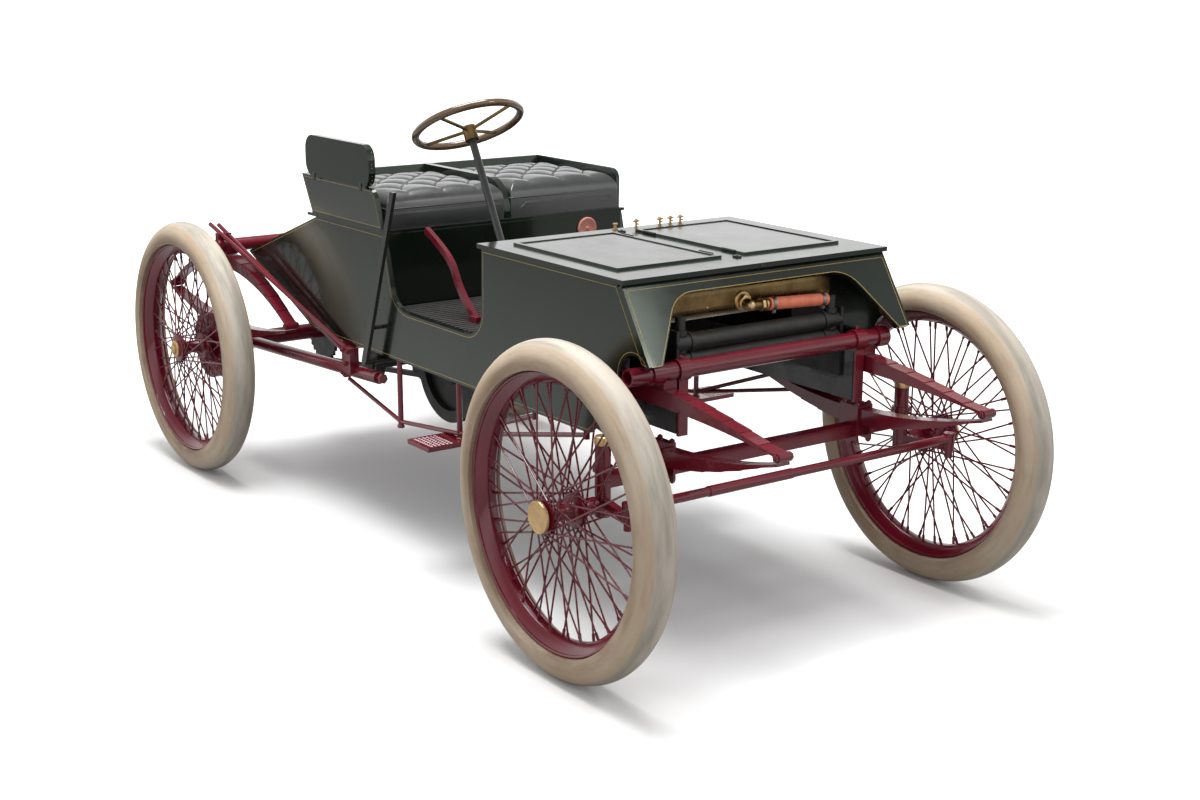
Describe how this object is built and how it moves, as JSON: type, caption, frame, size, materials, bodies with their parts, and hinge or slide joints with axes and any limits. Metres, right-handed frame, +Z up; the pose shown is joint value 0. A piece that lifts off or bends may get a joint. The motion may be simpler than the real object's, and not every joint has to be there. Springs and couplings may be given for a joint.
{
  "type": "vintage car",
  "caption": "Open racing car of about 1901 with wire wheels, full-elliptic springs, a boxy bonnet and a tufted bench seat.",
  "frame": {"origin": "on the ground, on the centre line, halfway between the axles", "axes": "+X forward, +Y to the car's left, +Z up"},
  "size_m": [3.482, 1.541, 1.4656],
  "materials": {
    "cream_tyre": "aged pale rubber",
    "red_enamel": "glossy maroon enamel",
    "green_black_paint": "high-gloss very dark green paint on wood",
    "aged_brass": "aged satin",
    "floor_cover": "ribbed black floor cover",
    "black_iron": "painted black",
    "red_rubber": "orange-red hose",
    "black_leather": "tufted, satin",
    "black_enamel": "satin black",
    "rim_wood": "varnished"
  },
  "bodies": {
    "car": {"front_axle": "red_enamel", "springs_upper": "red_enamel", "springs_lower": "red_enamel", "spring_clamps": "red_enamel", "rear_axle": "red_enamel", "drive_chain": "black_iron", "radius_tubes": "red_enamel", "stay_rods": "red_enamel", "truss_rods": "red_enamel", "frame_rails": "black_enamel", "cross_tubes": "red_enamel", "engine_block": "black_iron", "flywheel": "black_iron", "brass_tank": "aged_brass", "tank_hose": "red_rubber", "pipe_bank": "black_iron", "body_sides": "green_black_paint", "front_panel": "green_black_paint", "bonnet_top": "green_black_paint", "floor_boards": "floor_cover", "seat_riser": "green_black_paint", "tail_deck": "green_black_paint", "seat_shell": "green_black_paint", "side_guard": "green_black_paint", "cushion_right": "black_leather", "cushion_left": "black_leather", "hand_lever": "black_enamel", "foot_lever": "red_enamel"},
    "right_knuckle": {"knuckle_right": "red_enamel"},
    "left_knuckle": {"knuckle_left": "red_enamel"},
    "tie_link": {"tie_rod": "red_enamel"},
    "front_right_wheel": {"tyre_front_right": "cream_tyre", "wheel_front_right": "red_enamel", "hub_cap_front_right": "aged_brass"},
    "front_left_wheel": {"tyre_front_left": "cream_tyre", "wheel_front_left": "red_enamel", "hub_cap_front_left": "aged_brass"},
    "rear_right_wheel": {"tyre_rear_right": "cream_tyre", "wheel_rear_right": "red_enamel", "hub_cap_rear_right": "aged_brass"},
    "rear_left_wheel": {"tyre_rear_left": "cream_tyre", "wheel_rear_left": "red_enamel", "hub_cap_rear_left": "aged_brass"},
    "steering_wheel": {"steering_column": "black_enamel", "steering_spider": "aged_brass", "steering_rim": "rim_wood"},
    "right_lid": {"lid_right": "green_black_paint"},
    "left_lid": {"lid_left": "green_black_paint"}
  },
  "joints": [
    {"name": "steer_right", "type": "hinge", "parent": "car", "child": "right_knuckle", "pos_m": [1.219, -0.557, 0.5], "axis": [0, 0, 1], "range_deg": [-18, 18]},
    {"name": "steer_left", "type": "hinge", "parent": "car", "child": "left_knuckle", "pos_m": [1.219, 0.557, 0.5], "axis": [0, 0, 1], "range_deg": [-18.5, 18.5]},
    {"name": "tie_rod_pivot", "type": "hinge", "parent": "right_knuckle", "child": "tie_link", "pos_m": [1.385, -0.59493, 0.48], "axis": [0, 0, 1], "range_deg": [-20, 20]},
    {"name": "steering_turn", "type": "hinge", "parent": "car", "child": "steering_wheel", "pos_m": [0.088, -0.273, 1.372], "axis": [-0.4772, 0, 0.8788], "range_deg": [-75, 75]},
    {"name": "spin_front_right", "type": "hinge", "parent": "right_knuckle", "child": "front_right_wheel", "pos_m": [1.219, -0.6915, 0.467], "axis": [0, 1, 0], "continuous": true},
    {"name": "spin_front_left", "type": "hinge", "parent": "left_knuckle", "child": "front_left_wheel", "pos_m": [1.219, 0.6915, 0.467], "axis": [0, 1, 0], "continuous": true},
    {"name": "spin_rear_right", "type": "hinge", "parent": "car", "child": "rear_right_wheel", "pos_m": [-1.219, -0.6915, 0.467], "axis": [0, 1, 0], "continuous": true},
    {"name": "spin_rear_left", "type": "hinge", "parent": "car", "child": "rear_left_wheel", "pos_m": [-1.219, 0.6915, 0.467], "axis": [0, 1, 0], "continuous": true},
    {"name": "lid_right_hinge", "type": "hinge", "parent": "car", "child": "right_lid", "pos_m": [0.816, -0.042, 1.071], "axis": [-1, 0, 0], "range_deg": [0, 88]},
    {"name": "lid_left_hinge", "type": "hinge", "parent": "car", "child": "left_lid", "pos_m": [0.816, 0.042, 1.071], "axis": [1, 0, 0], "range_deg": [0, 88]}
  ],
  "couplings": [
    {"joint": "steer_left", "follows": "steer_right", "ratio": 1},
    {"joint": "tie_rod_pivot", "follows": "steer_right", "ratio": -1.063},
    {"joint": "steering_turn", "follows": "steer_right", "ratio": 4}
  ]
}
